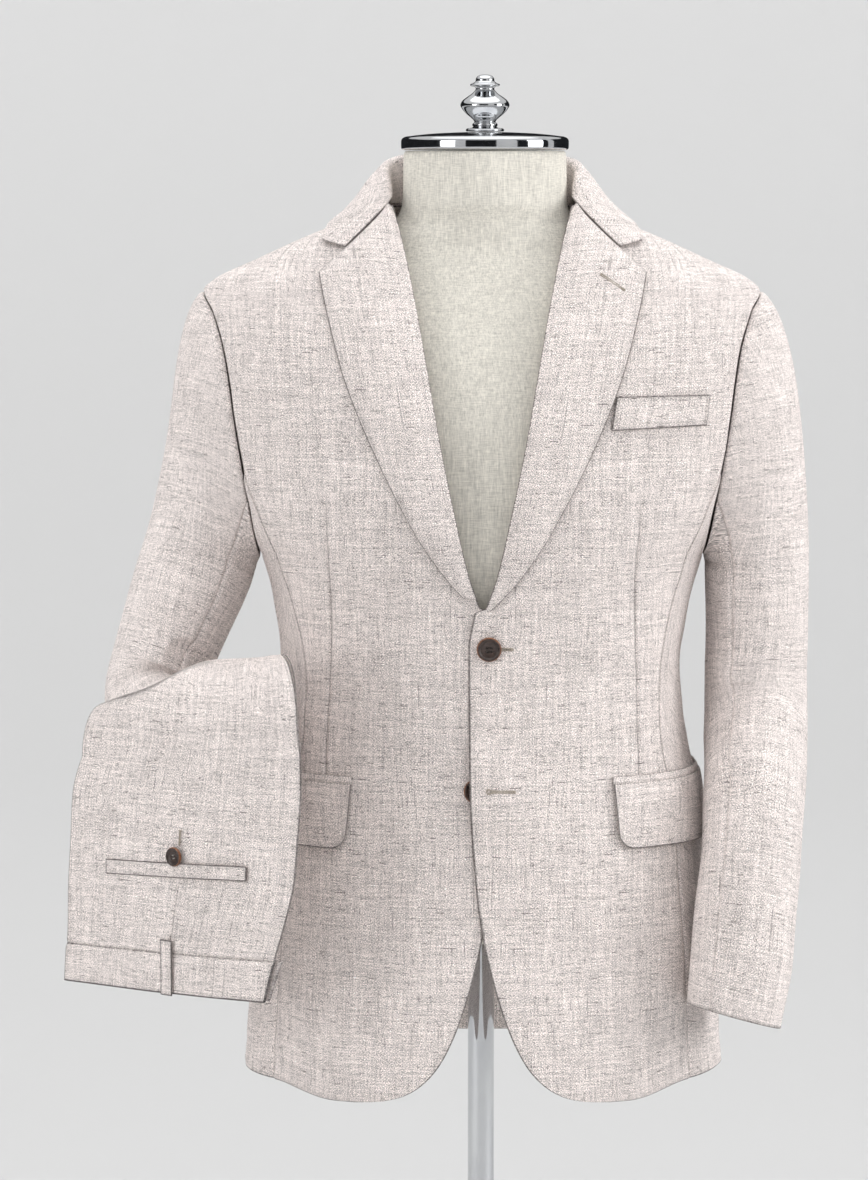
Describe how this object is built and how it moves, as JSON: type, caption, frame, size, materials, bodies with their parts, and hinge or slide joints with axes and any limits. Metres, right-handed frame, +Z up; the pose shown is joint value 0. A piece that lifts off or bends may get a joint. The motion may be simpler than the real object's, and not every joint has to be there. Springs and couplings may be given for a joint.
{
  "type": "linen suit on a dress form",
  "caption": "Single-breasted linen suit jacket on a limbless dress form with a chrome stand, its trousers folded over the bent right sleeve.",
  "frame": {"origin": "centre of the underside of the stand's round base, on the pole's axis", "axes": "+Z up along the pole, -Y out of the jacket's front, +X towards the wearer's left"},
  "size_m": [0.6267, 0.406, 1.47],
  "materials": {
    "linen": "matt plain-weave linen with darker slubs",
    "horn": "satin dark brown horn",
    "form_cover": "matt cream cotton cover",
    "chrome": "polished"
  },
  "bodies": {
    "root": {"belt_loop": "linen", "breast_welt": "linen", "collar_leaf": "linen", "collar_stand": "linen", "form_base": "chrome", "form_cap": "chrome", "form_finial": "chrome", "form_flange": "chrome", "form_pole": "chrome", "form_torso": "form_cover", "front_button_lower": "horn", "front_button_top": "horn", "hip_flap_left": "linen", "hip_flap_right": "linen", "hip_jet_left": "linen", "hip_jet_right": "linen", "jacket_back_left": "linen", "jacket_back_right": "linen", "jacket_front_left": "linen", "jacket_front_right": "linen", "jacket_side_left": "linen", "jacket_side_right": "linen", "lapel_left": "linen", "lapel_right": "linen", "sleeve_left_top": "linen", "sleeve_left_under": "linen", "sleeve_right_top": "linen", "sleeve_right_under": "linen", "trouser_folded_legs": "linen", "trouser_pocket_button": "horn", "trouser_pocket_welt": "linen", "trouser_seat": "linen", "trouser_waistband": "linen", "trouser_waistband_under": "linen"}
  },
  "joints": []
}
